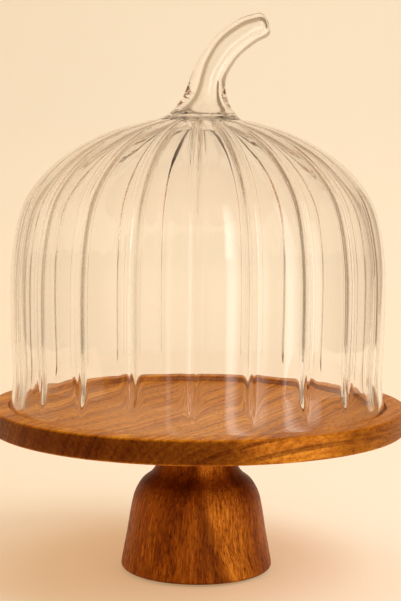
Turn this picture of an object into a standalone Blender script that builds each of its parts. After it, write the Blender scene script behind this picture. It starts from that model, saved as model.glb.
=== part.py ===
"""A pumpkin-shaped glass dome with a curled glass stem, on a turned wooden board and pedestal.

Metres, +Z up. The origin is on the table, under the middle of the pedestal. The stem leans to +X.
The dome's lobes are counted round +Z from the -Y side. The dome and its stem lift off together
along +Z; their origins and their empty sit on that axis.
"""

import math

import bmesh
import bpy
from mathutils import Vector

MM = 0.001
GAP = 0.3 * MM  # between two pieces that touch
BOARD_SIDES = 88
PEDESTAL_SIDES = 60

# Heights on the stand, from the table up
PAD_THICK = 1.5 * MM
PEDESTAL_BOTTOM = PAD_THICK + GAP
BOARD_TOP = 126.2 * MM
BOARD_THICK = 17.0 * MM
BOARD_BOTTOM = BOARD_TOP - BOARD_THICK
PEDESTAL_TOP = BOARD_BOTTOM - GAP

# Board
BOARD_RADIUS = 155.0 * MM
BOARD_EASE = 1.2 * MM
SEAT_RADIUS = 140.7 * MM
SEAT_DEPTH = 4.5 * MM
SEAT_FLOOR = BOARD_TOP - SEAT_DEPTH
LIP_EASE = 0.8 * MM

# Pedestal
PEDESTAL_OUTLINE = (  # (radius, height above the table) in mm, from the foot's edge up to the top
    (56.7, 5.0),
    (52.5, 27.7),
    (49.5, 46.2),
    (46.6, 58.2),
    (41.4, 67.2),
    (34.2, 73.2),
    (29.5, 80.7),
    (27.9, 89.2),
    (30.5, 99.2),
    (37.0, 107.0),
)
FOOT_EDGE = 2.2 * MM
PAD_RADIUS = 6.0 * MM
PAD_CIRCLE = 45.0 * MM
PAD_EASE = 0.4 * MM
PAD_COUNT = 4

# The screwed joint between the board and the pedestal: an M8 hanger bolt in a flanged insert
INSERT_RADIUS = 6.0 * MM
INSERT_LENGTH = 9.5 * MM
INSERT_BORE = 4.3 * MM
FLANGE_RADIUS = 8.5 * MM
FLANGE_THICK = 1.2 * MM
BOLT_RADIUS = 4.0 * MM
WOOD_THREAD_RADIUS = 3.7 * MM
BOLT_DOWN = 32.0 * MM
BOLT_UP = 8.5 * MM
BOLT_POINT = 6.0 * MM
BOLT_POINT_RADIUS = 0.8 * MM
THREAD_EASE = 0.8 * MM  # the bevel at the end of the bolt's and the insert's threads

# Dome
LOBES = 22
FIRST_CREASE = math.radians(-2.6)
DOME_OUTLINE = (  # (crest radius, height above the rim) in mm, from the rim up to the crown
    (139.4, 1.2),
    (139.3, 6.0),
    (137.7, 21.0),
    (139.2, 68.0),
    (138.4, 112.0),
    (131.2, 148.5),
    (117.0, 171.6),
    (95.0, 190.6),
    (68.0, 204.4),
    (42.0, 212.2),
    (27.0, 214.8),
)
DOME_BOTTOM = SEAT_FLOOR + GAP
CROWN_TOP = DOME_BOTTOM + DOME_OUTLINE[-1][1] * MM
CROWN_HOLE = 18.5 * MM
CROWN_LAND = 4.0 * MM  # the inner surface's level ring round that hole
BELLY_RADIUS = 139.0 * MM
WALL = 3.0 * MM
RIM_ROUND = 1.2 * MM
CREASE_OUTSIDE = 1.8 * MM  # how deep a crease is where the dome is widest
CREASE_INSIDE = 2.6 * MM
CREASE_THINNING = 0.6  # the power of the radius that it falls with towards the crown
CREASE_START = (6.0 * MM, 24.0 * MM)  # heights over which the creases grow above the plain rim
CREASE_END = (27.5 * MM, 33.0 * MM)  # radii over which they fade at the crown
LOBE_STEPS = (-1.0, -0.6, 0.0, 0.6)  # across one lobe, from crease to crease

# Stem: x of the middle, height above the crown, outer radius, bore radius, bore's shift in mm
STEM_STATIONS = (
    (0.6, 0.0, 27.4, 18.5, 0.0),
    (2.8, 4.0, 24.0, 13.2, 0.3),
    (3.4, 9.2, 20.0, 9.6, 0.6),
    (4.0, 15.0, 16.9, 7.2, 0.9),
    (4.9, 23.4, 14.1, 5.8, 1.1),
    (6.6, 31.6, 12.7, 5.5, 1.0),
    (11.2, 41.3, 12.0, 5.9, 0.5),
    (20.1, 53.6, 11.6, 6.2, 0.2),
    (33.3, 63.7, 10.8, 5.7, 0.0),
    (43.3, 68.1, 9.7, 4.9, 0.0),
)
STEM_FOOT = CROWN_TOP + GAP
STEM_TIP = 7.0 * MM
BORE_TIP = 3.9 * MM
STEM_SIDES = 20
STEM_LEAN_END = 20.0 * MM  # the sections turn from level at the foot to square to the stem by here
TIP_POWER = 2.6
TIP_SHARES = (0.45, 0.75, 0.93)  # where the rings of the rounded end lie along it


def clear_scene():
    for thing in list(bpy.data.objects):
        bpy.data.objects.remove(thing, do_unlink=True)


def make_material(name, colour, roughness, metallic=0.0, clear=0.0):
    material = bpy.data.materials.new(name)
    material.use_nodes = True
    shader = material.node_tree.nodes["Principled BSDF"]
    shader.inputs["Base Color"].default_value = (*colour, 1.0)
    shader.inputs["Roughness"].default_value = roughness
    shader.inputs["Metallic"].default_value = metallic
    shader.inputs["Transmission Weight"].default_value = clear
    return material


def place(name, build, material, at=(0.0, 0.0, 0.0), parent=None):
    """Makes a smooth-shaded object of a bmesh and puts it in the scene."""
    bmesh.ops.recalc_face_normals(build, faces=build.faces)
    mesh = bpy.data.meshes.new(name)
    build.to_mesh(mesh)
    build.free()
    mesh.shade_smooth()
    mesh.set_sharp_from_angle(angle=math.radians(35))
    mesh.materials.append(material)
    thing = bpy.data.objects.new(name, mesh)
    thing.location = at
    thing.parent = parent
    bpy.context.collection.objects.link(thing)
    return thing


def rounded(points, steps):
    """A smooth curve through the points (Catmull-Rom), with this many steps from each to the next."""
    ends = [tuple(2 * a - b for a, b in zip(points[0], points[1]))]
    ends.append(tuple(2 * a - b for a, b in zip(points[-1], points[-2])))
    held = [ends[0], *points, ends[1]]
    curve = []
    for i in range(1, len(held) - 2):
        before, start, end, after = held[i - 1 : i + 3]
        for step in range(steps):
            t = step / steps
            curve.append(
                tuple(
                    0.5 * (2 * b + (c - a) * t + (2 * a - 5 * b + 4 * c - d) * t**2
                           + (3 * b - a - 3 * c + d) * t**3)
                    for a, b, c, d in zip(before, start, end, after)
                )
            )
    return curve + [points[-1]]


def quarter(centre, radius, start, steps):
    """A quarter circle of (radius, height) points, turning anticlockwise from this angle in degrees."""
    angles = [math.radians(start + 90 * i / steps) for i in range(steps + 1)]
    return [(centre[0] + radius * math.cos(a), centre[1] + radius * math.sin(a)) for a in angles]


def lathe(outline, sides):
    """A turned solid: the closed (radius, height) outline spun once about +Z."""
    build = bmesh.new()
    corners = [build.verts.new((radius, 0.0, height)) for radius, height in outline]
    edges = [
        build.edges.new((start, end))
        for start, end in zip(corners, corners[1:] + corners[:1])
        if start.co.x > 0 or end.co.x > 0
    ]
    bmesh.ops.spin(
        build,
        geom=corners + edges,
        cent=(0, 0, 0),
        axis=(0, 0, 1),
        angle=math.tau,
        steps=sides,
        use_merge=True,
    )
    bmesh.ops.remove_doubles(build, verts=build.verts, dist=1e-6)
    return build


def skin(rings, poles=None):
    """Walls from each ring of points to the next. Poles close both ends; without them the last ring
    joins the first."""
    build = bmesh.new()
    made = [[build.verts.new(point) for point in ring] for ring in rings]
    pairs = list(zip(made, made[1:]))
    if poles is None:
        pairs.append((made[-1], made[0]))
    for low, high in pairs:
        for i, corner in enumerate(low):
            j = (i + 1) % len(low)
            build.faces.new((corner, low[j], high[j], high[i]))
    for pole, ring in zip(poles or (), (made[0], made[-1])):
        tip = build.verts.new(pole)
        for i, corner in enumerate(ring):
            build.faces.new((corner, ring[(i + 1) % len(ring)], tip))
    return build


def smoothstep(low, high, value):
    t = min(max((value - low) / (high - low), 0.0), 1.0)
    return t * t * (3 - 2 * t)


def crease_share(radius, height):
    """How much of its full depth a crease has here: none at the rim or crown, less where lobes narrow."""
    grown = smoothstep(*CREASE_START, height) * smoothstep(*CREASE_END, radius)
    return grown * (radius / BELLY_RADIUS) ** CREASE_THINNING


def crease_shape(u):
    """0 along a lobe's crest and 1 in the crease, for u from -1 to 1 across the lobe."""
    return 0.45 * u**2 + 0.55 * u**6


def dome_ring(point, normal, depth):
    """One ring of the dome: the outline's point, pushed in along its normal towards each crease."""
    pitch = math.tau / LOBES
    ring = []
    for lobe in range(LOBES):
        for u in LOBE_STEPS:
            turn = FIRST_CREASE + (lobe + (u + 1) / 2) * pitch
            inward = depth * crease_shape(u)
            radius = point[0] - normal[0] * inward
            ring.append(
                (radius * math.sin(turn), -radius * math.cos(turn), point[1] - normal[1] * inward)
            )
    return ring


def outline_normals(outline):
    """The unit normals of a (radius, height) outline that runs upwards, pointing outwards."""
    normals = []
    for i in range(len(outline)):
        before = outline[max(i - 1, 0)]
        after = outline[min(i + 1, len(outline) - 1)]
        along = Vector((after[0] - before[0], after[1] - before[1])).normalized()
        normals.append((along.y, -along.x))
    return normals


def build_dome_shell(glass, lift):
    """The blown shell: an outer and an inner surface, joined by the rounded rim and the crown's seat."""
    outline = [(r * MM, z * MM) for r, z in rounded(DOME_OUTLINE, 2)]
    normals = outline_normals(outline)
    outer = [
        dome_ring(point, normal, crease_share(*point) * CREASE_OUTSIDE)
        for point, normal in zip(outline, normals)
    ]
    inner = []
    for point, normal in zip(outline, normals):
        inside = (point[0] - normal[0] * WALL, point[1] - normal[1] * WALL)
        if inside[0] > CROWN_HOLE + CROWN_LAND:
            inner.append(dome_ring(inside, normal, crease_share(*point) * CREASE_INSIDE))
    level = (0.0, 1.0)
    top = DOME_OUTLINE[-1][1] * MM
    rim_outer = DOME_OUTLINE[0][0] * MM
    rings = [
        dome_ring((rim_outer - RIM_ROUND, 0.0), level, 0.0),
        *outer,
        dome_ring((CROWN_HOLE, top), level, 0.0),
        dome_ring((CROWN_HOLE, top - WALL), level, 0.0),
        *reversed(inner),
        dome_ring((rim_outer - WALL + RIM_ROUND, 0.0), level, 0.0),
    ]
    return place("dome_shell", skin(rings), glass, parent=lift)


def stem_ring(x, height, radius, tangent):
    """A round section of the stem, square to its middle line, which lies in the XZ plane."""
    across = Vector((tangent[1], 0.0, -tangent[0]))
    ring = []
    for i in range(STEM_SIDES):
        turn = math.tau * i / STEM_SIDES
        offset = across * (radius * math.cos(turn))
        ring.append((x + offset.x, radius * math.sin(turn), height + offset.z))
    return ring


def tip_rings(x, height, radius, tangent, length):
    """The blunt rounded end of a stem surface, and its last point."""
    rings = []
    for share in TIP_SHARES:
        narrowed = radius * (1 - share**TIP_POWER) ** (1 / TIP_POWER)
        rings.append(
            stem_ring(x + tangent[0] * length * share, height + tangent[1] * length * share,
                      narrowed, tangent)
        )
    return rings, (x + tangent[0] * length, 0.0, height + tangent[1] * length)


def build_stem_handle(glass, lift):
    """The curled hollow stem: outer surface, blunt tip, and the bore that opens into the dome."""
    stations = [tuple(v * MM for v in s) for s in rounded(STEM_STATIONS, 2)]
    tangents = []
    for i, (_, height, *_rest) in enumerate(stations):
        before = stations[max(i - 1, 0)]
        after = stations[min(i + 1, len(stations) - 1)]
        lean = math.atan2(after[0] - before[0], after[1] - before[1])
        lean *= smoothstep(0.0, STEM_LEAN_END, height)
        tangents.append(Vector((math.sin(lean), math.cos(lean))))
    outer = []
    bore = []
    for (x, height, radius, hollow, shift), tangent in zip(stations, tangents):
        outer.append(stem_ring(x, height, radius, tangent))
        bore.append(stem_ring(x + shift * tangent.y, height - shift * tangent.x, hollow, tangent))
    x, height, radius, hollow, _ = stations[-1]
    outer_tip, outer_pole = tip_rings(x, height, radius, tangents[-1], STEM_TIP)
    bore_tip, bore_pole = tip_rings(x, height, hollow, tangents[-1], BORE_TIP)
    rings = [*reversed(bore_tip), *reversed(bore), *outer, *outer_tip]
    build = skin(rings, poles=(bore_pole, outer_pole))
    foot = Vector((0.0, 0.0, STEM_FOOT - DOME_BOTTOM))
    bmesh.ops.translate(build, verts=build.verts, vec=foot)
    return place("stem_handle", build, glass, parent=lift)


def build_cake_board(wood):
    """The turned board, with the sunk seat that holds the dome and the insert's stepped hole below."""
    hole = INSERT_RADIUS + GAP
    step = FLANGE_RADIUS + GAP
    outline = [
        (0.0, SEAT_FLOOR),
        (SEAT_RADIUS, SEAT_FLOOR),
        (SEAT_RADIUS, BOARD_TOP - LIP_EASE),
        (SEAT_RADIUS + LIP_EASE, BOARD_TOP),
    ]
    edge = BOARD_RADIUS - BOARD_EASE
    outline += reversed(quarter((edge, BOARD_TOP - BOARD_EASE), BOARD_EASE, 0, 3))
    outline += reversed(quarter((edge, BOARD_BOTTOM + BOARD_EASE), BOARD_EASE, 270, 3))
    outline += [
        (step, BOARD_BOTTOM),
        (step, BOARD_BOTTOM + FLANGE_THICK + GAP),
        (hole, BOARD_BOTTOM + FLANGE_THICK + GAP),
        (hole, BOARD_BOTTOM + INSERT_LENGTH + GAP),
        (0.0, BOARD_BOTTOM + INSERT_LENGTH + GAP),
    ]
    return place("cake_board", lathe(outline, BOARD_SIDES), wood)


def build_pedestal(wood):
    """The turned pedestal: a flared foot, a rounded shoulder, a waisted neck and the bolt's pilot hole."""
    foot_radius, foot_height = PEDESTAL_OUTLINE[0]
    edge = (foot_radius * MM - FOOT_EDGE, PEDESTAL_BOTTOM + FOOT_EDGE)
    top_radius = PEDESTAL_OUTLINE[-1][0] * MM
    hole = WOOD_THREAD_RADIUS + GAP
    outline = [(0.0, PEDESTAL_BOTTOM)]
    outline += quarter(edge, FOOT_EDGE, 270, 3)
    outline += [(r * MM, z * MM) for r, z in PEDESTAL_OUTLINE]
    outline += [
        (top_radius, PEDESTAL_TOP),
        (hole, PEDESTAL_TOP),
        (hole, PEDESTAL_TOP - BOLT_DOWN - GAP),
        (0.0, PEDESTAL_TOP - BOLT_DOWN - GAP),
    ]
    return place("pedestal", lathe(outline, PEDESTAL_SIDES), wood)


def build_threaded_insert(brass):
    """The flanged insert, screwed up into the board, level with its underside."""
    bottom = BOARD_BOTTOM
    outline = [
        (INSERT_BORE, bottom),
        (FLANGE_RADIUS, bottom),
        (FLANGE_RADIUS, bottom + FLANGE_THICK),
        (INSERT_RADIUS, bottom + FLANGE_THICK),
        (INSERT_RADIUS, bottom + INSERT_LENGTH - THREAD_EASE),
        (INSERT_RADIUS - THREAD_EASE, bottom + INSERT_LENGTH),
        (INSERT_BORE, bottom + INSERT_LENGTH),
    ]
    return place("threaded_insert", lathe(outline, 32), brass)


def build_hanger_bolt(steel):
    """The bolt: a coarse wood thread down in the pedestal and an M8 thread up in the insert."""
    bottom = PEDESTAL_TOP - BOLT_DOWN
    top = BOARD_BOTTOM + BOLT_UP
    outline = [
        (0.0, bottom),
        (BOLT_POINT_RADIUS, bottom),
        (WOOD_THREAD_RADIUS, bottom + BOLT_POINT),
        (WOOD_THREAD_RADIUS, PEDESTAL_TOP),
        (BOLT_RADIUS, PEDESTAL_TOP + GAP),
        (BOLT_RADIUS, top - THREAD_EASE),
        (BOLT_RADIUS - THREAD_EASE, top),
        (0.0, top),
    ]
    return place("hanger_bolt", lathe(outline, 24), steel)


def build_foot_pads(rubber):
    """Round bumpers stuck under the pedestal, flat where they meet the table."""
    outline = [
        (0.0, 0.0),
        (PAD_RADIUS - PAD_EASE, 0.0),
        (PAD_RADIUS, PAD_EASE),
        (PAD_RADIUS, PAD_THICK),
        (0.0, PAD_THICK),
    ]
    for i in range(PAD_COUNT):
        turn = math.radians(45 + 360 * i / PAD_COUNT)
        at = (PAD_CIRCLE * math.cos(turn), PAD_CIRCLE * math.sin(turn), 0.0)
        place(f"foot_pad_{i + 1}", lathe(outline, 24), rubber, at=at)


def main():
    clear_scene()
    glass = make_material("clear_glass", (0.97, 0.965, 0.95), 0.03, clear=1.0)
    board_wood = make_material("board_wood", (0.52, 0.27, 0.10), 0.38)
    pedestal_wood = make_material("pedestal_wood", (0.42, 0.20, 0.08), 0.4)
    brass = make_material("brass", (0.78, 0.6, 0.3), 0.3, metallic=1.0)
    steel = make_material("zinc_steel", (0.62, 0.63, 0.64), 0.35, metallic=1.0)
    rubber = make_material("rubber", (0.12, 0.11, 0.1), 0.7)
    lift = bpy.data.objects.new("dome_lift_axis", None)
    lift.location = (0.0, 0.0, DOME_BOTTOM)
    bpy.context.collection.objects.link(lift)
    build_dome_shell(glass, lift)
    build_stem_handle(glass, lift)
    build_cake_board(board_wood)
    build_pedestal(pedestal_wood)
    build_threaded_insert(brass)
    build_hanger_bolt(steel)
    build_foot_pads(rubber)


main()
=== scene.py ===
"""The looks of the pumpkin-shaped glass dome on its wooden stand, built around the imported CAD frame."""

import math

import bpy
import numpy as np
from mathutils import Matrix, Vector


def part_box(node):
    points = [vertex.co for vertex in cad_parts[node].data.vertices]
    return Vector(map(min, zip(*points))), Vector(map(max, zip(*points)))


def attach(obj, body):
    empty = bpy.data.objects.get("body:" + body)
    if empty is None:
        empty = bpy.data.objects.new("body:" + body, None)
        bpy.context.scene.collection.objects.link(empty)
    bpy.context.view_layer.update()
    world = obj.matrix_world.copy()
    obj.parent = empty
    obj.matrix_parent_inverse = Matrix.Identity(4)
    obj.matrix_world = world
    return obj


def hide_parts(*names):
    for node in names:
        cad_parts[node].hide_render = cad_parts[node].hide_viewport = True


MM = 0.001
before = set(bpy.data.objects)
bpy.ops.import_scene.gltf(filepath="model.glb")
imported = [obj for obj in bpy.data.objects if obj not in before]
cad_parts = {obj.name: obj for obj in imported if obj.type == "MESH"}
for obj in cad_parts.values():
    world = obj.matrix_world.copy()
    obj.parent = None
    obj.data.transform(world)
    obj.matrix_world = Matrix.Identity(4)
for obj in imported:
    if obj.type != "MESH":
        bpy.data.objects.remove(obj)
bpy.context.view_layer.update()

# Places read from the frame
DOME_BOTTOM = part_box("dome_shell")[0].z
BOARD_LOW, BOARD_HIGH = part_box("cake_board")
PEDESTAL_LOW, PEDESTAL_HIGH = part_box("pedestal")
INSERT_LOW, INSERT_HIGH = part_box("threaded_insert")
BOLT_LOW, BOLT_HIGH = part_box("hanger_bolt")

# The camera of the photograph: where it stands in metres, how it looks, and its lens in mm
CAMERA_DISTANCE = 1.0403
CAMERA_HEIGHT = 0.2953
CAMERA_PITCH = math.radians(5.097)
CAMERA_YAW = math.radians(-0.088)
CAMERA_ROLL = 0.0085  # radians
CAMERA_LENS = 83.86


# ---------------------------------------------------------------- shapes

SHARP_TURNED = math.radians(40)


def smooth_curve(points, steps):
    """A smooth curve through the rows of points (Catmull-Rom), in this many steps between neighbours."""
    rows = np.array(points, float)
    held = np.vstack([2 * rows[0] - rows[1], rows, 2 * rows[-1] - rows[-2]])
    t = np.linspace(0, 1, steps, endpoint=False)[:, None]
    curve = []
    for a, b, c, d in zip(held, held[1:], held[2:], held[3:]):
        curve.append(
            0.5 * (2 * b + (c - a) * t + (2 * a - 5 * b + 4 * c - d) * t**2
                   + (3 * b - a - 3 * c + d) * t**3)
        )
    return np.vstack([*curve, rows[-1:]])


def arc(centre, radius, start, end, steps):
    """Points of a circle's arc in the (radius, height) plane, from one angle to the other in degrees."""
    turns = np.radians(np.linspace(start, end, steps + 1))
    return [(centre[0] + radius * math.cos(t), centre[1] + radius * math.sin(t)) for t in turns]


def ring_mesh(name, rings, closed=False, caps=False):
    """A mesh whose walls join each ring of points to the next. closed joins the last ring to the first,
    and caps closes both ends with a fan."""
    rings = np.asarray(rings, float)
    count, around = rings.shape[:2]
    points = rings.reshape(-1, 3)
    low = np.arange(count if closed else count - 1)[:, None]
    step = np.arange(around)[None, :]
    high = (low + 1) % count
    turned = (step + 1) % around
    faces = np.stack(
        [low * around + step, low * around + turned, high * around + turned, high * around + step],
        axis=-1,
    ).reshape(-1, 4).tolist()
    if caps:
        poles = [rings[0].mean(0), rings[-1].mean(0)]
        first = len(points)
        points = np.vstack([points, poles])
        for i in range(around):
            j = (i + 1) % around
            last = (count - 1) * around
            faces.append([j, i, first])
            faces.append([last + i, last + j, first + 1])
    mesh = bpy.data.meshes.new(name)
    mesh.from_pydata(points.tolist(), [], faces)
    mesh.update()
    mesh.shade_smooth()
    thing = bpy.data.objects.new(name, mesh)
    bpy.context.scene.collection.objects.link(thing)
    return thing


def lathe(name, outline, around):
    """A turned piece: the (radius, height) outline in metres spun about the Z axis. It starts and ends
    on the axis, level with its next point, and runs up the outside."""
    radius, height = np.array(outline, float)[1:-1].T
    turns = np.linspace(0, math.tau, around, endpoint=False)
    rings = np.empty((len(radius), around, 3))
    rings[:, :, 0] = radius[:, None] * np.cos(turns)
    rings[:, :, 1] = radius[:, None] * np.sin(turns)
    rings[:, :, 2] = height[:, None]
    thing = ring_mesh(name, rings, caps=True)
    thing.data.set_sharp_from_angle(angle=SHARP_TURNED)
    return thing


def move(thing, x, y, z):
    thing.data.transform(Matrix.Translation((x, y, z)))
    return thing


# ---------------------------------------------------------------- glass

# Sizes of the glass are in mm
LOBES = 22
FIRST_CREASE = math.radians(-1.7)  # from the viewer's side, towards the right
LOBE_SWAY = math.radians(2.5)  # the lobes are a little wider in front than behind
LOBE_CUTS = 38
BELLY = 139.0  # the radius at which the lobes and creases have their full depth
WALL = 3.0
SWELL = 1.1  # how far a lobe's sides fall back from its middle
OUTER_CREASE = {"crease": 1.2, "width": 1.3, "ripple": 0.006}
INNER_CREASE = {"crease": 2.2, "width": 3.6, "ripple": 0.002}
RIPPLE_COUNTS = (61, 97, 139)  # waves round the dome, one set on top of another
RIPPLE_DRIFT = 70.0  # the waves wander sideways over about this height
DEPTH_POWER = 0.55  # how fast lobes and creases grow shallow with the radius, towards the crown
WIDTH_POWER = 0.6  # and how fast creases grow narrow
LOBE_START = (3.0, 10.0)  # heights over which the lobes swell above the plain rim
CREASE_START = (11.0, 28.0)  # and over which the creases cut in between them
CREASE_END = (27.0, 34.0)  # radii over which both fade at the crown
DOME_OUTLINE = (  # (crest radius, height above the rim), from the rim up to the crown
    (139.4, 1.6),
    (139.3, 6.0),
    (137.7, 21.0),
    (137.9, 34.0),
    (139.2, 68.0),
    (138.4, 112.0),
    (131.2, 148.5),
    (117.0, 171.6),
    (95.0, 190.6),
    (68.0, 204.4),
    (42.0, 212.2),
    (34.0, 213.7),
    (30.0, 214.8),
)
INNER_END = 31.5  # the inner surface follows the outer one down to this radius
WELD_HEIGHT = 214.8
WELD_GAP = 0.02  # between the two flat rings that are fused
THROAT = ((29.0, 211.0), (24.0, 211.8), (20.6, 213.2), (19.0, WELD_HEIGHT))
STEM_STATIONS = (  # x, height above the weld, outer radius, bore radius, bore's shift
    (0.0, 0.0, 30.0, 19.0, 0.0),
    (1.4, 1.5, 27.4, 16.0, 0.1),
    (2.6, 4.2, 24.2, 13.0, 0.3),
    (3.3, 9.2, 20.0, 9.6, 0.6),
    (4.0, 15.0, 16.9, 7.2, 0.9),
    (4.9, 23.4, 14.1, 5.8, 1.1),
    (6.6, 31.6, 12.7, 5.5, 1.0),
    (11.2, 41.3, 12.0, 5.9, 0.5),
    (20.1, 53.6, 11.6, 6.2, 0.2),
    (33.3, 63.7, 10.8, 5.7, 0.0),
    (43.3, 68.1, 9.7, 4.9, 0.0),
)
STEM_AROUND = 64
STEM_LEAN_END = 20.0  # the rings stand level at the foot and square to the stem from here up
STEM_TIP = 7.0
BORE_TIP = 3.9
TIP_POWER = 2.5  # how blunt the tip is: 2 is a half ellipse


def ease(low, high, value):
    """A smooth step from 0 at low to 1 at high."""
    t = np.clip((value - low) / (high - low), 0, 1)
    return t * t * (3 - 2 * t)


def crease_angles():
    """Where each crease lies round the dome, from the viewer's side."""
    even = FIRST_CREASE + np.arange(LOBES) * math.tau / LOBES
    return even + LOBE_SWAY * np.sin(even)


def around_dome():
    """The turn of every column of points, and its place across its lobe from -1 to 1."""
    starts = crease_angles()
    ends = np.append(starts[1:], starts[0] + math.tau)
    # columns crowd towards the creases, where the glass bends most
    spread = np.linspace(-1, 1, LOBE_CUTS, endpoint=False)
    across = np.sin(spread * math.pi / 2) * 0.75 + spread * 0.25
    turns = starts[:, None] + (ends - starts)[:, None] * (across + 1) / 2
    return turns.ravel(), np.tile(across, LOBES)


def fluted(radius, height, normal, swell, crease, width, ripple, lobe_width):
    """A ring of points pushed in along the normal. swell follows the lobe's curve, crease is the narrow
    fold between two lobes, and ripple is the faint upright waviness of blown glass."""
    turns, across = around_dome()
    off_crease = (1 - np.abs(across)) * lobe_width / 2
    inward = swell * (1 - np.cos(math.pi * across)) / 2
    inward = inward + crease * np.exp(-((off_crease / width) ** 2))
    waves = sum(np.sin(count * turns + count**1.7 + height / RIPPLE_DRIFT) for count in RIPPLE_COUNTS)
    inward = inward + ripple * waves / len(RIPPLE_COUNTS)
    r = radius - normal[0] * inward
    z = height - normal[1] * inward
    return np.stack([r * np.sin(turns), -r * np.cos(turns), z], axis=-1)


def dome_surface(outline, inset, crease, width, ripple):
    """The rings of one surface of the dome, this far inside the outline, with all sizes in mm."""
    along = np.gradient(outline, axis=0)
    along /= np.linalg.norm(along, axis=1)[:, None]
    normals = np.stack([along[:, 1], -along[:, 0]], axis=-1)
    rings = []
    for (r, z), normal in zip(outline, normals):
        size = ease(*CREASE_END, r) * (r / BELLY) ** DEPTH_POWER
        lobed = ease(*LOBE_START, z) * size
        creased = ease(*CREASE_START, z) * size
        rings.append(
            fluted(
                r - normal[0] * inset,
                z - normal[1] * inset,
                normal,
                SWELL * lobed,
                crease * creased,
                width * (r / BELLY) ** WIDTH_POWER,
                ripple * creased,
                math.tau * r / LOBES,
            )
        )
    return rings


def plain_ring(radius, height):
    """A ring without lobes, with the same number of points as a lobed one."""
    turns, _ = around_dome()
    return np.stack(
        [radius * np.sin(turns), -radius * np.cos(turns), np.full(len(turns), height)], axis=-1
    )


def weld_faces(thing, row, columns, glass, weld):
    """Gives the piece its glass, and the flat ring of faces where dome and stem are fused its weld."""
    thing.data.materials.append(glass)
    thing.data.materials.append(weld)
    for face in thing.data.polygons[row * columns:(row + 1) * columns]:
        face.material_index = 1
        face.use_smooth = False


def build_dome(glass, weld):
    """The blown shell: a plain rounded rim, lobed walls inside and outside, and the open throat that
    the stem is fused to."""
    outline = smooth_curve(DOME_OUTLINE, 4)
    outer = dome_surface(outline, 0.0, **OUTER_CREASE)
    inner = dome_surface(outline[outline[:, 0] > INNER_END], WALL, **INNER_CREASE)
    rim_curve = arc((DOME_OUTLINE[0][0] - WALL / 2, WALL / 2), WALL / 2, -180, 0, 8)[1:-1]
    rim = [plain_ring(r, z) for r, z in rim_curve]
    throat = [plain_ring(r, z) for r, z in smooth_curve(THROAT, 4)]
    rings = np.array([*rim, *outer, *reversed(throat), *reversed(inner)]) * MM
    dome = ring_mesh("dome_glass", rings, closed=True)
    weld_faces(dome, len(rim) + len(outer) - 1, rings.shape[1], glass, weld)
    return move(dome, 0, 0, DOME_BOTTOM)


def stem_ring(x, height, radius, tangent):
    """A round section of the stem, square to the tangent (x, height)."""
    turns = np.linspace(0, math.tau, STEM_AROUND, endpoint=False)
    across = np.array([tangent[1], -tangent[0]]) * radius
    return np.stack(
        [x + across[0] * np.cos(turns), radius * np.sin(turns), height + across[1] * np.cos(turns)],
        axis=-1,
    )


def stem_tip(x, height, radius, tangent, length):
    """The blunt, rounded end of a stem surface."""
    shares = np.sin(np.linspace(0, math.pi / 2, 12))[1:-1]
    sections = [(share, (1 - share**TIP_POWER) ** (1 / TIP_POWER)) for share in shares]
    sections.append((1.0, 0.02))
    return [
        stem_ring(
            x + tangent[0] * length * share,
            height + tangent[1] * length * share,
            radius * size,
            tangent,
        )
        for share, size in sections
    ]


def build_stem(glass, weld):
    """The curled stem: solid glass round a narrow bore that opens into the dome."""
    stations = smooth_curve(STEM_STATIONS, 10)
    along = np.gradient(stations[:, :2], axis=0)
    lean = np.arctan2(along[:, 0], along[:, 1]) * ease(0.0, STEM_LEAN_END, stations[:, 1])
    tangents = np.stack([np.sin(lean), np.cos(lean)], axis=-1)
    outer = []
    bore = []
    for (x, z, radius, hollow, shift), tangent in zip(stations, tangents):
        outer.append(stem_ring(x, z, radius, tangent))
        bore.append(stem_ring(x + shift * tangent[1], z - shift * tangent[0], hollow, tangent))
    x, z, radius, hollow, _ = stations[-1]
    outer += stem_tip(x, z, radius, tangents[-1], STEM_TIP)
    bore += stem_tip(x, z, hollow, tangents[-1], BORE_TIP)
    rings = np.array([*reversed(bore), *outer]) * MM
    stem = ring_mesh("stem_glass", rings, caps=True)
    weld_faces(stem, len(bore) - 1, rings.shape[1], glass, weld)
    return move(stem, 0, 0, DOME_BOTTOM + (WELD_HEIGHT + WELD_GAP) * MM)


# ---------------------------------------------------------------- node trees

FLAT = (1.0, 1.0, 0.0)  # leaves a place's height out


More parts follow.
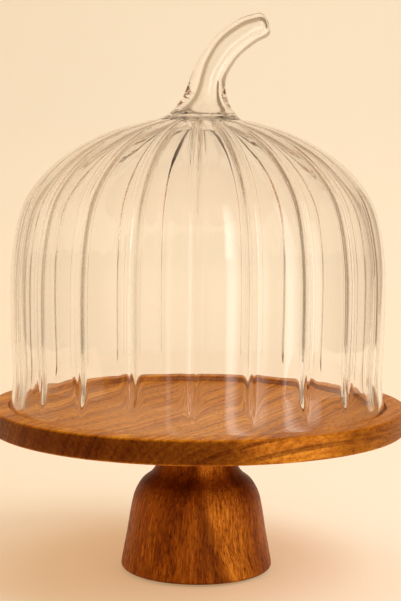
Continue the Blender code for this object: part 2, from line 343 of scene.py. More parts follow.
class Nodes:
    """Short calls for building the node tree of a material or of the world."""

    def __init__(self, owner, output="ShaderNodeOutputMaterial"):
        self.owner = owner
        owner.use_nodes = True
        self.tree = owner.node_tree
        self.tree.nodes.clear()
        self.output = self.add(output)

    def add(self, kind, **settings):
        node = self.tree.nodes.new(kind)
        for name, value in settings.items():
            setattr(node, name, value)
        return node

    def feed(self, socket, value):
        if isinstance(value, bpy.types.NodeSocket):
            self.tree.links.new(value, socket)
        elif value is not None:
            socket.default_value = value

    def math(self, operation, a, b=None):
        node = self.add("ShaderNodeMath", operation=operation)
        self.feed(node.inputs[0], a)
        self.feed(node.inputs[1], b)
        return node.outputs[0]

    def vector(self, operation, a, b=None, result=0):
        node = self.add("ShaderNodeVectorMath", operation=operation)
        self.feed(node.inputs[0], a)
        self.feed(node.inputs[1], b)
        return node.outputs[result]

    def join(self, *values):
        node = self.add("ShaderNodeCombineXYZ")
        for socket, value in zip(node.inputs, values):
            self.feed(socket, value)
        return node.outputs[0]

    def split(self, vector):
        node = self.add("ShaderNodeSeparateXYZ")
        self.feed(node.inputs[0], vector)
        return node.outputs

    def noise(self, vector, scale, detail=2.0, rough=0.5, output=0):
        node = self.add("ShaderNodeTexNoise")
        self.feed(node.inputs["Vector"], vector)
        node.inputs["Scale"].default_value = scale
        node.inputs["Detail"].default_value = detail
        node.inputs["Roughness"].default_value = rough
        return node.outputs[output]

    def noise_line(self, value, scale, detail=2.0, rough=0.5):
        node = self.add("ShaderNodeTexNoise", noise_dimensions="1D")
        self.feed(node.inputs["W"], value)
        node.inputs["Scale"].default_value = scale
        node.inputs["Detail"].default_value = detail
        node.inputs["Roughness"].default_value = rough
        return node.outputs[0]

    def spread(self, value, low, high, to_low=0.0, to_high=1.0, shape="LINEAR"):
        node = self.add("ShaderNodeMapRange", interpolation_type=shape)
        self.feed(node.inputs["Value"], value)
        node.inputs["From Min"].default_value = low
        node.inputs["From Max"].default_value = high
        node.inputs["To Min"].default_value = to_low
        node.inputs["To Max"].default_value = to_high
        return node.outputs[0]

    def ramp(self, value, stops):
        node = self.add("ShaderNodeValToRGB")
        self.feed(node.inputs["Fac"], value)
        elements = node.color_ramp.elements
        while len(elements) < len(stops):
            elements.new(0.5)
        for element, (place, colour) in zip(elements, stops):
            element.position = place
            element.color = (*colour, 1)
        return node.outputs["Color"]

    def mix(self, share, a, b, blend="MIX"):
        node = self.add("ShaderNodeMix", data_type="RGBA", blend_type=blend)
        self.feed(node.inputs[0], share)
        for socket, value in ((node.inputs[6], a), (node.inputs[7], b)):
            self.feed(socket, (*value, 1) if isinstance(value, tuple) else value)
        return node.outputs[2]

    def bump(self, height, strength, distance):
        node = self.add("ShaderNodeBump")
        node.inputs["Strength"].default_value = strength
        node.inputs["Distance"].default_value = distance
        self.feed(node.inputs["Height"], height)
        return node.outputs[0]

    def place(self):
        return self.add("ShaderNodeTexCoord").outputs["Object"]

    def from_axis(self, place):
        """How far a place is from the stand's upright axis."""
        return self.vector("LENGTH", self.vector("MULTIPLY", place, FLAT), result=1)

    def weighted(self, *pairs):
        """The sum of each value times its weight."""
        total = None
        for value, weight in pairs:
            part = self.math("MULTIPLY", value, weight)
            total = part if total is None else self.math("ADD", total, part)
        return total

    def finish(self, shader):
        self.tree.links.new(shader, self.output.inputs["Surface"])
        return self.owner


def new_material(name):
    return Nodes(bpy.data.materials.new(name))


def glass_material():
    """Clear soda-lime glass. Lamps reach what stands under it."""
    n = new_material("clear_glass")
    glass = n.add("ShaderNodeBsdfPrincipled")
    glass.inputs["Base Color"].default_value = (0.995, 0.99, 0.98, 1)
    glass.inputs["Roughness"].default_value = 0.0
    glass.inputs["IOR"].default_value = 1.5
    glass.inputs["Transmission Weight"].default_value = 1.0
    clear = n.add("ShaderNodeBsdfTransparent")
    clear.inputs["Color"].default_value = (0.97, 0.96, 0.945, 1)
    path = n.add("ShaderNodeLightPath")
    either = n.math("MAXIMUM", path.outputs["Is Shadow Ray"], path.outputs["Is Diffuse Ray"])
    mix = n.add("ShaderNodeMixShader")
    n.tree.links.new(either, mix.inputs[0])
    n.tree.links.new(glass.outputs[0], mix.inputs[1])
    n.tree.links.new(clear.outputs[0], mix.inputs[2])
    return n.finish(mix.outputs[0])


def weld_material():
    """The fused joint between dome and stem: solid glass on both sides, so nothing shows there."""
    n = new_material("fused_joint")
    return n.finish(n.add("ShaderNodeBsdfTransparent").outputs[0])


# ---------------------------------------------------------------- wood

FIBRES = (60.0, 1500.0)  # how many grains of noise a metre holds along the wood and across it
PORES = (190.0, 1150.0)
BOARD_STREAKS = (7.0, 300.0)
PEDESTAL_STREAKS = (15.0, 460.0)
PEDESTAL_BANDS = (4.0, 60.0)
PORE_GAIN = (0.42, 0.30, 0.24)  # what multiplies the colour in pores, in dark wood and painted shade, and in golden wood, on the pedestal with a painted sheen
DARK_GAIN = (0.23, 0.14, 0.21)
BOARD_GOLD_GAIN = (1.30, 1.45, 4.2)
PEDESTAL_GOLD_SHEEN_GAIN = (2.0, 2.7, 4.2)
OIL_SHEEN = (1.0, 0.70, 0.42)


def grain_noise(n, place, grain, detail, rough):
    """Noise stretched along the fibres. place is (along, across, up) in metres."""
    along, across, up = place
    long, wide = grain
    stretched = n.join(
        n.math("MULTIPLY", along, long),
        n.math("MULTIPLY", across, wide),
        n.math("MULTIPLY", up, wide),
    )
    return n.noise(stretched, 1.0, detail, rough)


def fine_grain(n, place):
    """The fine fibres and the open pores, both from 0 to 1."""
    fibres = grain_noise(n, place, FIBRES, 2.0, 0.6)
    pores = n.spread(grain_noise(n, place, PORES, 1.0, 0.5), 0.57, 0.70)
    return fibres, pores


def stipple(n, place, fineness):
    """The glitter of figured wood: fine grains, each more or less golden."""
    grains = n.noise(n.vector("MULTIPLY", place, fineness), 1.0, 1.0, 0.5)
    return n.spread(grains, 0.25, 0.62, 0.45, 1.0)


def tinted(n, share, colour, gain):
    return n.mix(share, colour, n.mix(1.0, colour, gain, blend="MULTIPLY"))


def finish_wood(n, tone, tones, pores, fibres, dark, gold, gold_gain):
    """The oiled wood's shader. dark, from 0 to 1, reddens and darkens end grain, dark streaks and
    painted shade, and gold, from 0 to 1, lights up a figured patch, on the pedestal partly a painted
    sheen."""
    colour = n.ramp(tone, tones)
    colour = tinted(n, gold, colour, gold_gain)
    colour = tinted(n, dark, colour, DARK_GAIN)
    colour = tinted(n, n.math("MULTIPLY", pores, 0.75), colour, PORE_GAIN)
    shader = n.add("ShaderNodeBsdfPrincipled")
    n.feed(shader.inputs["Base Color"], colour)
    n.feed(shader.inputs["Roughness"], n.spread(n.math("ADD", pores, fibres), 0.3, 1.4, 0.36, 0.56))
    shader.inputs["Specular IOR Level"].default_value = 0.09
    shader.inputs["Specular Tint"].default_value = (*OIL_SHEEN, 1)
    relief = n.math("SUBTRACT", n.math("MULTIPLY", fibres, 0.6), pores)
    n.feed(shader.inputs["Normal"], n.bump(relief, 0.5, 0.0002))
    return n.finish(shader.outputs[0])


SEAT_RADIUS = 0.1407
BOARD_GRAIN = math.radians(62)  # from +X, seen from above
BOARD_SWAY = 0.030
PITH_ACROSS = 0.127  # the growth rings' middle, off to the right of the board's axis
PITH_BELOW = 0.085
END_GRAIN_POWER = 3.2  # how narrow the stretch of end grain at the edge is
EDGE_SHADE_AND_END_GRAIN = (0.52, 1.0)  # painted shade on the edge's long grain, and painted shade with darker end grain on its end grain
FIGURE_DARK = 0.60  # on the edge's dark rings
SEAT_WALL_TINT = 0.55  # the seat's wall takes this share of the edge's painted shade, end-grain darkness and gold
GOLDEN_PLACE = (-0.092, -0.127, 0.0)  # along and across the fibres: the figured patch at the edge
GOLDEN_REACH = (0.046, 0.020)  # it fades in between these distances from its middle
BOARD_TONES = (
    (0.0, (0.206, 0.042, 0.0012)),
    (0.35, (0.442, 0.129, 0.0044)),
    (0.65, (0.668, 0.244, 0.0100)),
    (1.0, (0.880, 0.425, 0.0260)),
)


def board_wood_material():
    """Acacia: the fibres lie across the board, and the growth rings curve round a line below its right
    side. The top is streaked, the left of the edge is end grain and its right shows wide golden rings.
    The upright faces of the edge and, less, of the seat's wall are darkened as painted shade."""
    n = new_material("board_wood")
    place = n.place()
    mapping = n.add("ShaderNodeMapping", vector_type="TEXTURE")
    mapping.inputs["Location"].default_value = (0, 0, BOARD_LOW.z)
    mapping.inputs["Rotation"].default_value = (0, 0, BOARD_GRAIN)
    n.feed(mapping.inputs["Vector"], place)
    grain = mapping.outputs["Vector"]

    slow = n.noise(n.vector("MULTIPLY", grain, (3.0, 9.0, 9.0)), 1.0, 0.0, output="Color")
    slow = n.vector("SUBTRACT", slow, (0.5, 0.5, 0.5))
    sway = n.vector("MULTIPLY", slow, (0.0, BOARD_SWAY, BOARD_SWAY))
    along, across, up = n.split(n.vector("ADD", grain, sway))
    across = n.math("ADD", across, PITH_ACROSS)
    up = n.math("ADD", up, PITH_BELOW)
    ring = n.vector("LENGTH", n.join(across, up), result=1)
    swayed = (along, across, up)
    bands = n.noise_line(ring, 55.0, 3.0, 0.55)
    lines = n.noise_line(ring, 330.0, 2.0, 0.6)
    figure = n.spread(n.noise_line(ring, 170.0, 2.0, 0.5), 0.50, 0.60)
    streaks = grain_noise(n, swayed, BOARD_STREAKS, 3.0, 0.62)
    fibres, pores = fine_grain(n, swayed)
    tone = n.weighted((bands, 0.55), (lines, 0.35), (streaks, 0.65), (fibres, 0.25))
    tone = n.spread(tone, 0.60, 1.24)

    normal = n.add("ShaderNodeNewGeometry").outputs["Normal"]
    along_grain = (math.cos(BOARD_GRAIN), math.sin(BOARD_GRAIN), 0.0)
    facing = n.vector("DOT_PRODUCT", normal, along_grain, result=1)
    end_grain = n.math("POWER", n.math("ABSOLUTE", facing), END_GRAIN_POWER)
    upright = n.math("ABSOLUTE", n.vector("DOT_PRODUCT", normal, (0.0, 0.0, 1.0), result=1))
    past_seat = n.math("SUBTRACT", n.from_axis(place), SEAT_RADIUS)
    outside = n.spread(past_seat, 0.004, 0.008, SEAT_WALL_TINT, 1.0)
    side = n.math("MULTIPLY", n.math("SUBTRACT", 1.0, upright), outside)

    golden = n.vector("DISTANCE", n.vector("MULTIPLY", grain, FLAT), GOLDEN_PLACE, result=1)
    ragged = n.math("MULTIPLY", n.math("SUBTRACT", bands, 0.5), 0.035)
    golden = n.spread(n.math("ADD", golden, ragged), *GOLDEN_REACH)
    glitter = stipple(n, grain, (420.0, 1300.0, 1300.0))
    gold = n.math("MULTIPLY", golden, n.math("MULTIPLY", side, glitter))
    # the edge's upright faces, and less so the seat's wall, are darkened as painted shade, and more where
    # they show end grain
    dark = n.math("MULTIPLY", side, n.spread(end_grain, 0.0, 1.0, *EDGE_SHADE_AND_END_GRAIN))
    dark = n.math("MULTIPLY", dark, n.math("SUBTRACT", 1.0, golden))
    dark_rings = n.math("MULTIPLY", n.math("MULTIPLY", figure, side), FIGURE_DARK)
    dark = n.math("MAXIMUM", dark, dark_rings)
    return finish_wood(n, tone, BOARD_TONES, pores, fibres, dark, gold, BOARD_GOLD_GAIN)


PEDESTAL_SWAY = 0.030
PEDESTAL_GIRTH = 0.05  # the radius that turns an angle round the side into a length
# the pedestal's golden patch: figure in the wood, partly a painted sheen
GOLD_SHEEN_MIDDLE = 0.0315  # to the right of the front, round the side at the foot
GOLD_SHEEN_HALF = 0.0070  # half its width there
GOLD_SHEEN_SLANT = 0.14  # how far it moves left, and how much each half widens, for each metre up
SHADE_BESIDE = 0.0065  # how far left of the golden patch its dark neighbour lies
SHADE_DARK = 0.40
PEDESTAL_TONES = (
    (0.0, (0.092, 0.017, 0.0009)),
    (0.35, (0.245, 0.057, 0.0030)),
    (0.65, (0.390, 0.110, 0.0070)),
    (1.0, (0.580, 0.202, 0.0160)),
)


def pedestal_wood_material():
    """Upright acacia whose figure follows the turned side, with one golden patch to the right in front,
    partly a painted sheen. Surfaces that turn upwards are darker with end grain and painted shade.
    """
    n = new_material("pedestal_wood")
    place = n.place()
    x, y, height = n.split(place)
    turn = n.math("ARCTAN2", x, n.math("MULTIPLY", y, -1.0))
    round_side = n.math("MULTIPLY", turn, PEDESTAL_GIRTH)
    slow = n.noise(n.vector("MULTIPLY", place, (16.0, 16.0, 9.0)), 1.0, 1.5, 0.5)
    sway = n.math("MULTIPLY", n.math("SUBTRACT", slow, 0.5), PEDESTAL_SWAY)
    ring = n.math("ADD", round_side, sway)
    swayed = (height, n.math("MULTIPLY", n.from_axis(place), 0.6), ring)
    bands = grain_noise(n, swayed, PEDESTAL_BANDS, 2.0, 0.5)
    streaks = grain_noise(n, swayed, PEDESTAL_STREAKS, 5.0, 0.72)
    fibres, pores = fine_grain(n, swayed)
    tone = n.weighted((bands, 0.50), (streaks, 0.80), (fibres, 0.45))
    tone = n.spread(tone, 0.66, 1.10)

    # the golden patch, figure with a painted sheen, leans left and widens as it rises
    slant = n.math("MULTIPLY", height, GOLD_SHEEN_SLANT)
    middle = n.math("SUBTRACT", GOLD_SHEEN_MIDDLE, slant)
    half_width = n.math("ADD", GOLD_SHEEN_HALF, slant)
    off = n.math("SUBTRACT", n.math("ADD", round_side, n.math("MULTIPLY", sway, 0.35)), middle)
    past_edge = n.math("SUBTRACT", n.math("ABSOLUTE", off), half_width)
    glitter = stipple(n, place, (1400.0, 1400.0, 420.0))
    gold = n.math("MULTIPLY", n.spread(past_edge, 0.0035, -0.0035), glitter)
    beside = n.math("ADD", off, n.math("ADD", half_width, SHADE_BESIDE))
    shade = n.math("MULTIPLY", n.spread(n.math("ABSOLUTE", beside), 0.007, 0.001), SHADE_DARK)

    # surfaces that turn upwards are darkened: end grain, and painted shade of the board above on the
    # shoulder
    normal = n.add("ShaderNodeNewGeometry").outputs["Normal"]
    facing = n.vector("DOT_PRODUCT", normal, (0.0, 0.0, 1.0), result=1)
    end_grain = n.math("MULTIPLY", n.spread(n.math("ABSOLUTE", facing), 0.20, 0.70), 0.75)
    dark = n.math("MAXIMUM", end_grain, shade)
    pores = n.math("MULTIPLY", pores, 1.25)
    return finish_wood(n, tone, PEDESTAL_TONES, pores, fibres, dark, gold, PEDESTAL_GOLD_SHEEN_GAIN)


# ---------------------------------------------------------------- the stand

SEAT_DEPTH = 4.5 * MM
BOARD_EASE = 1.6 * MM  # the roundings of the board's outer edges, of the seat's lip and of its floor
LIP_EASE = 0.9 * MM
SEAT_FILLET = 0.8 * MM
FLANGE_THICK = 1.2 * MM
FLANGE_TOP = INSERT_LOW.z + FLANGE_THICK
FIT = 0.3 * MM  # round the insert's flange
INSERT_HOLE = 6.3 * MM
INSERT_HOLE_DEPTH = 9.8 * MM
FOOT_EASE = 2.4 * MM
PILOT_HOLE = 4.0 * MM
PILOT_DEPTH = 32.3 * MM
PEDESTAL_OUTLINE = (  # (radius, height above the table) in mm
    (56.7, 5.0),
    (52.5, 27.7),
    (49.5, 46.2),
    (46.6, 58.2),
    (41.4, 67.2),
    (34.2, 73.2),
    (29.5, 80.7),
    (27.9, 89.2),
    (30.5, 99.2),
    (37.0, 107.0),
)


def build_board(wood):
    """The turned board: eased edges, the sunk seat with a small fillet at its floor, and the insert's
    hole in its underside."""
    top = BOARD_HIGH.z
    low = BOARD_LOW.z
    floor = top - SEAT_DEPTH
    edge = BOARD_HIGH.x - BOARD_EASE
    hole_end = low + INSERT_HOLE_DEPTH
    flange = (INSERT_HIGH.x + FIT, FLANGE_TOP + FIT)
    outline = [(0.0, hole_end), (INSERT_HOLE, hole_end), (INSERT_HOLE, flange[1]), flange]
    outline += [(flange[0], low), (0.07, low), (0.12, low)]
    outline += arc((edge, low + BOARD_EASE), BOARD_EASE, -90, 0, 6)
    outline += arc((edge, top - BOARD_EASE), BOARD_EASE, 0, 90, 6)
    outline += arc((SEAT_RADIUS + LIP_EASE, top - LIP_EASE), LIP_EASE, 90, 180, 5)
    outline += arc((SEAT_RADIUS - SEAT_FILLET, floor + SEAT_FILLET), SEAT_FILLET, 0, -90, 4)
    outline += [(0.1, floor), (0.05, floor), (0.0, floor)]
    board = lathe("board_turned", outline, 256)
    board.data.materials.append(wood)
    return board


def build_pedestal(wood):
    """The turned pedestal, flared at the foot, with the bolt's pilot hole in its top."""
    bottom = PEDESTAL_LOW.z
    top = PEDESTAL_HIGH.z
    foot = PEDESTAL_OUTLINE[0][0] * MM
    side = smooth_curve(PEDESTAL_OUTLINE, 8) * MM
    outline = [(0.0, bottom), (0.03, bottom)]
    outline += arc((foot - FOOT_EASE, bottom + FOOT_EASE), FOOT_EASE, -90, 0, 6)
    outline += side[1:].tolist()
    outline += [(side[-1][0], top), (PILOT_HOLE, top)]
    outline += [(PILOT_HOLE, top - PILOT_DEPTH), (0.0, top - PILOT_DEPTH)]
    pedestal = lathe("pedestal_turned", outline, 192)
    pedestal.data.materials.append(wood)
    return pedestal


# ---------------------------------------------------------------- the screwed joint and the feet

M8_PITCH = 1.25  # threads are in mm
INSERT_PITCH = 2.5
WOOD_PITCH = 3.0
INSERT_BODY = 6.0  # the radius over the insert's coarse thread
INSERT_BORE = 4.3
INSERT_DEPTH = 0.9  # how deep each thread is cut
BORE_DEPTH = 0.35
WOOD_DEPTH = 0.8
M8_DEPTH = 0.62
INSERT_CHAMFER = 0.3
NOTCHES = 6
NOTCH_DEPTH = 0.55
WOOD_THREAD = 3.7
M8_THREAD = 3.95
INSERT_AROUND = 96
BOLT_AROUND = 64
SHARP_THREAD = math.radians(50)


def thread_rings(profile, pitch, depth, around):
    """Rings along the (radius, height) profile in mm. Where its third value is above 0, a screw thread
    with this pitch and depth winds up along it, at that share of its depth."""
    turns = np.linspace(0, math.tau, around, endpoint=False)
    rings = []
    for radius, height, share in profile:
        wind = (height / pitch - turns / math.tau) % 1.0
        cut_in = np.clip(np.abs(2 * wind - 1) * 1.5 - 0.25, 0, 1)
        r = radius - share * depth * cut_in
        rings.append(np.stack([r * np.cos(turns), r * np.sin(turns), np.full(around, height)], axis=-1))
    return rings


def threaded_stretch(radius, low, high, step, taper):
    """Profile points up a straight threaded stretch, the thread growing and fading over taper."""
    heights = np.linspace(low, high, max(int(round((high - low) / step)), 2) + 1)
    share = ease(low, low + taper, heights) * (1 - ease(high - taper, high, heights))
    return [(radius, z, s) for z, s in zip(heights, share)]


def finish_threads(name, rings, metal, **ends):
    thing = ring_mesh(name, rings * MM, **ends)
    thing.data.set_sharp_from_angle(angle=SHARP_THREAD)
    thing.data.materials.append(metal)
    return thing


def build_insert(brass):
    """The flanged brass insert: a coarse wood thread outside, an M8 thread in its bore and six
    driving notches in the flange."""
    low = INSERT_LOW.z / MM
    high = INSERT_HIGH.z / MM
    wide = INSERT_HIGH.x / MM
    flange = low + FLANGE_THICK / MM
    narrow = wide - INSERT_CHAMFER
    outside = [
        (narrow, low, 0.0),
        (wide, low + INSERT_CHAMFER, 0.0),
        (wide, flange - INSERT_CHAMFER, 0.0),
        (narrow, flange, 0.0),
        (INSERT_BODY + 0.1, flange, 0.0),
    ]
    thread = threaded_stretch(INSERT_BODY, flange + 0.2, high - 0.8, 0.15, 0.8)
    end = [(INSERT_BODY - 0.8, high, 0.0), (INSERT_BORE + 0.5, high, 0.0)]
    bore = threaded_stretch(INSERT_BORE, low + 0.5, high - 0.5, 0.14, 0.6)
    mouth = [(INSERT_BORE + 0.5, low, 0.0)]
    rings = thread_rings(outside + thread + end, INSERT_PITCH, INSERT_DEPTH, INSERT_AROUND)
    rings += thread_rings(bore[::-1] + mouth, M8_PITCH, BORE_DEPTH, INSERT_AROUND)
    rings = np.array(rings)
    turns = np.arctan2(rings[:, :, 1], rings[:, :, 0])
    out = np.hypot(rings[:, :, 0], rings[:, :, 1])
    notched = (rings[:, :, 2] < flange + 0.05) & (out > INSERT_BODY + 0.5)
    notch = NOTCH_DEPTH * ease(0.86, 0.97, np.cos(NOTCHES * turns)) * notched
    rings[:, :, :2] *= (1 - notch / wide)[:, :, None]
    return finish_threads("insert_turned", rings, brass, closed=True)


def build_bolt(steel):
    """The hanger bolt: a pointed wood thread below, a plain neck, and an M8 thread above."""
    low = BOLT_LOW.z / MM
    high = BOLT_HIGH.z / MM
    neck = PEDESTAL_HIGH.z / MM
    point = [(0.12, low, 0.0), (0.9, low + 1.2, 0.2), (1.9, low + 3.0, 0.5)]
    shank = [
        (min(WOOD_THREAD, 1.9 + (z - low - 3.0) * 0.6), z, share)
        for _, z, share in threaded_stretch(WOOD_THREAD, low + 3.2, neck - 2.5, 0.25, 2.0)
    ]
    plain = [(3.6, neck - 2.2, 0.0), (3.6, neck + 0.4, 0.0)]
    upper = threaded_stretch(M8_THREAD, neck + 0.6, high - 0.6, 0.14, 0.7)
    end = [(3.1, high, 0.0), (0.1, high, 0.0)]
    rings = thread_rings(point + shank + plain, WOOD_PITCH, WOOD_DEPTH, BOLT_AROUND)
    rings += thread_rings(upper + end, M8_PITCH, M8_DEPTH, BOLT_AROUND)
    return finish_threads("bolt_threaded", np.array(rings), steel, caps=True)


PAD_ROUND = 0.45 * MM
PAD_GROOVE = 0.12 * MM  # the depth of the two rings and of the middle in a pad's underside


def build_pad(number, rubber):
    """A moulded bumper with a rounded edge and fine rings in its underside."""
    low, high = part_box(f"foot_pad_{number}")
    radius = (high.x - low.x) / 2
    middle = (low + high) / 2
    thick = high.z - low.z
    outline = [(0.0, PAD_GROOVE), (0.0012, PAD_GROOVE), (0.0015, 0.0), (0.0030, 0.0)]
    outline += [(0.0032, PAD_GROOVE), (0.0036, PAD_GROOVE), (0.0038, 0.0)]
    outline += arc((radius - PAD_ROUND, PAD_ROUND), PAD_ROUND, -90, 0, 6)
    outline += [(radius - 0.0001, thick - 0.0001), (radius - 0.0003, thick), (0.003, thick), (0.0, thick)]
    pad = lathe(f"pad_moulded_{number}", outline, 72)
    pad.data.materials.append(rubber)
    return move(pad, middle.x, middle.y, low.z)


def turned_metal(name, colour, dull, roughness, lathe_marks):
    """Turned metal: fine marks round the axis, patches of tarnish, and a little grain."""
    n = new_material(name)
    place = n.place()
    height = n.split(place)["Z"]
    marks = n.noise_line(n.math("ADD", height, n.from_axis(place)), lathe_marks, 2.0, 0.6)
    tarnish = n.spread(n.noise(place, 260.0, 4.0, 0.6), 0.42, 0.66)
    grain = n.noise(place, 5200.0, 1.0, 0.5)
    shader = n.add("ShaderNodeBsdfPrincipled")
    shader.inputs["Metallic"].default_value = 1.0
    n.feed(shader.inputs["Base Color"], n.mix(tarnish, colour, dull))
    rough = n.weighted((marks, 0.16), (tarnish, 0.18), (grain, 0.10))
    n.feed(shader.inputs["Roughness"], n.math("ADD", rough, roughness))
    n.feed(shader.inputs["Normal"], n.bump(n.weighted((marks, 1.0), (grain, 0.4)), 0.4, 0.00003))
    return n.finish(shader.outputs[0])


def brass_material():
    return turned_metal("insert_brass", (0.78, 0.53, 0.22), (0.42, 0.26, 0.11), 0.20, 2600.0)


def steel_material():
    return turned_metal("bolt_steel", (0.66, 0.67, 0.69), (0.46, 0.45, 0.42), 0.26, 1800.0)


def rubber_material():
    """Matt moulded rubber, dusty where it has been handled."""
    n = new_material("pad_rubber")
    place = n.place()
    dust = n.spread(n.noise(place, 420.0, 4.0, 0.65), 0.45, 0.72)
    speck = n.noise(place, 4200.0, 2.0, 0.6)
    shader = n.add("ShaderNodeBsdfPrincipled")
    n.feed(shader.inputs["Base Color"], n.mix(dust, (0.012, 0.010, 0.009), (0.050, 0.043, 0.036)))
    n.feed(shader.inputs["Roughness"], n.spread(speck, 0.3, 0.7, 0.62, 0.86))
    n.feed(shader.inputs["Normal"], n.bump(speck, 0.5, 0.00004))
    return n.finish(shader.outputs[0])


# ---------------------------------------------------------------- stage, lights, camera

PAPER_HALF = 1.1
PAPER_FRONT = -0.5
PAPER_WALL = 1.45
PAPER_BEND = 0.75
PAPER_TOP = 1.15
PAPER_STEPS = 32
PAPER_COLOUR = (0.70, 0.72, 0.70)
PAPER_WARMTH = (0.535, 0.335, 0.172)
PAPER_GLOW = (0.71, 0.488)  # of that warmth on the floor, and on the wall
GLOW_HEIGHTS = (0.0, 0.4)


def build_stage():
    """One pale sweep of paper: the floor, a long curve and the wall behind."""
    line = [(PAPER_FRONT, 0.0), (PAPER_WALL - PAPER_BEND, 0.0)]
    for i in range(1, PAPER_STEPS + 1):
        turn = math.radians(90 * i / PAPER_STEPS)
        back = PAPER_WALL - PAPER_BEND * (1 - math.sin(turn))
        line.append((back, PAPER_BEND * (1 - math.cos(turn))))
    line.append((PAPER_WALL, PAPER_TOP))
    points = [(x, y, z) for y, z in line for x in (-PAPER_HALF, PAPER_HALF)]
    faces = [(2 * i, 2 * i + 1, 2 * i + 3, 2 * i + 2) for i in range(len(line) - 1)]
    mesh = bpy.data.meshes.new("sweep")
    mesh.from_pydata(points, [], faces)
    mesh.shade_smooth()
    sweep = bpy.data.objects.new("sweep", mesh)
    bpy.context.scene.collection.objects.link(sweep)
    n = new_material("pale_paper")
    paper = n.add("ShaderNodeBsdfPrincipled")
    paper.inputs["Base Color"].default_value = (*PAPER_COLOUR, 1)
    paper.inputs["Roughness"].default_value = 0.9
    paper.inputs["Specular IOR Level"].default_value = 0.0
    paper.inputs["Emission Color"].default_value = (*PAPER_WARMTH, 1)
    glow = n.spread(n.split(n.place())["Z"], *GLOW_HEIGHTS, *PAPER_GLOW)
    n.feed(paper.inputs["Emission Strength"], glow)
    mesh.materials.append(n.finish(paper.outputs[0]))


MIDDLE = (0.0, 0.0, 0.2)
LAMP_COLOUR = (1.0, 0.98, 0.93)
PANE_COLOUR = (0.90, 0.90, 0.86)
PANE_DISTANCE = 1.4
PANE_STRIPS = 7
PANE_SPACING = 0.002
PANE_FADE = 0.65  # the last strip is smaller than the first by this share


def softbox(name, azimuth, distance, height, size, radiance, aim=MIDDLE, mirrored=False):
    """A soft rectangular lamp. azimuth turns from the camera's side towards the right, in degrees. A
    mirrored one only shows as a reflection on the outside of the glass and on the oiled wood, and any
    other only lights what is matt."""
    turn = math.radians(azimuth)
    place = Vector((distance * math.sin(turn), -distance * math.cos(turn), height))
    data = bpy.data.lights.new(name, "AREA")
    data.shape = "RECTANGLE"
    data.size, data.size_y = size
    data.energy = radiance * math.pi * size[0] * size[1]
    data.color = PANE_COLOUR if mirrored else LAMP_COLOUR
    lamp = bpy.data.objects.new(name, data)
    lamp.location = place
    lamp.rotation_euler = (Vector(aim) - place).to_track_quat("-Z", "Y").to_euler()
    lamp.visible_camera = False
    lamp.visible_diffuse = not mirrored
    lamp.visible_glossy = mirrored
    lamp.visible_transmission = False
    bpy.context.scene.collection.objects.link(lamp)


def softbox_pane(name, azimuth, width, low, high, radiance):
    """A tall pane of window light with soft sides and a soft top: nested strips whose light adds up."""
    for i in range(PANE_STRIPS):
        share = 1.0 - PANE_FADE * i / (PANE_STRIPS - 1)
        tall = (high - low) * share
        middle = low + tall / 2
        softbox(
            f"{name}_{i}",
            azimuth,
            PANE_DISTANCE + PANE_SPACING * i,
            middle,
            (width * share, tall),
            radiance / PANE_STRIPS,
            aim=(0, 0, middle),
            mirrored=True,
        )


def build_lights():
    """The key lamp on the right, one overhead, and the window panes that the glass mirrors."""
    softbox("key", 66, 1.0, 1.25, (1.2, 1.2), 2.80)
    softbox("top", 170, 0.35, 1.75, (1.4, 1.4), 0.9)
    softbox_pane("pane_near", 24, 0.38, -0.45, 1.75, 4.2)
    softbox_pane("pane_far", 58, 0.46, -0.45, 1.75, 4.2)
    softbox_pane("pane_faint", -10, 0.18, -0.45, 1.55, 1.3)
    softbox_pane("pane_high", 21, 0.32, 0.50, 1.75, 3.4)


LEFT_ROOM = (0.52, 0.36, 0.22)
RIGHT_ROOM = (0.34, 0.22, 0.125)
FRONT_ROOM = (0.84, 0.66, 0.45)
LOW_ROOM = (0.34, 0.24, 0.15)


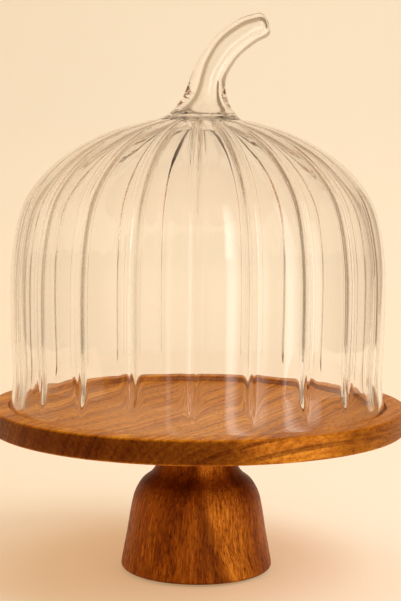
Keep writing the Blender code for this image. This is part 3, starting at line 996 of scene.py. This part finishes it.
def build_room():
    """The room round the sweep: light behind the viewer, browner at the sides, dark near the ground."""
    world = bpy.data.worlds.new("studio")
    n = Nodes(world, "ShaderNodeOutputWorld")
    x, y, z = n.split(n.add("ShaderNodeTexCoord").outputs["Generated"])
    sides = n.mix(n.spread(x, -0.4, 0.4), LEFT_ROOM, RIGHT_ROOM)
    room = n.mix(n.spread(y, -0.30, -0.80, shape="SMOOTHSTEP"), sides, FRONT_ROOM)
    room = n.mix(n.spread(z, -0.06, -0.17, shape="SMOOTHSTEP"), room, LOW_ROOM)
    background = n.add("ShaderNodeBackground")
    n.feed(background.inputs["Color"], room)
    n.finish(background.outputs[0])
    bpy.context.scene.world = world


def build_camera():
    data = bpy.data.cameras.new("camera")
    data.sensor_width = 36
    data.lens = CAMERA_LENS
    camera = bpy.data.objects.new("camera", data)
    camera.matrix_world = (
        Matrix.Translation((0.0, -CAMERA_DISTANCE, CAMERA_HEIGHT))
        @ Matrix.Rotation(CAMERA_YAW, 4, "Z")
        @ Matrix.Rotation(math.pi / 2 - CAMERA_PITCH, 4, "X")
        @ Matrix.Rotation(CAMERA_ROLL, 4, "Z")
    )
    bpy.context.scene.collection.objects.link(camera)
    bpy.context.scene.camera = camera


def build_pieces():
    """Every visible piece, with the CAD node it replaces, its body and its material slot."""
    glass = glass_material()
    weld = weld_material()
    board_wood = board_wood_material()
    pedestal_wood = pedestal_wood_material()
    brass = brass_material()
    steel = steel_material()
    rubber = rubber_material()
    pieces = [
        (build_dome(glass, weld), "dome_shell", "dome", "clear_glass"),
        (build_stem(glass, weld), "stem_handle", "dome", "clear_glass"),
        (build_board(board_wood), "cake_board", "stand", "board_wood"),
        (build_pedestal(pedestal_wood), "pedestal", "stand", "pedestal_wood"),
        (build_insert(brass), "threaded_insert", "stand", "insert_brass"),
        (build_bolt(steel), "hanger_bolt", "stand", "bolt_steel"),
    ]
    for number in range(1, 5):
        pieces.append((build_pad(number, rubber), f"foot_pad_{number}", "stand", "pad_rubber"))
    return pieces


def main():
    scene = bpy.context.scene
    scene.view_settings.view_transform = "Standard"
    scene.cycles.max_bounces = 64
    scene.cycles.transmission_bounces = 64
    scene.cycles.glossy_bounces = 16
    scene.cycles.transparent_max_bounces = 32
    build_camera()
    build_stage()
    build_lights()
    build_room()
    for piece, node, body, slot in build_pieces():
        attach(piece, body)
        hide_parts(node)


main()
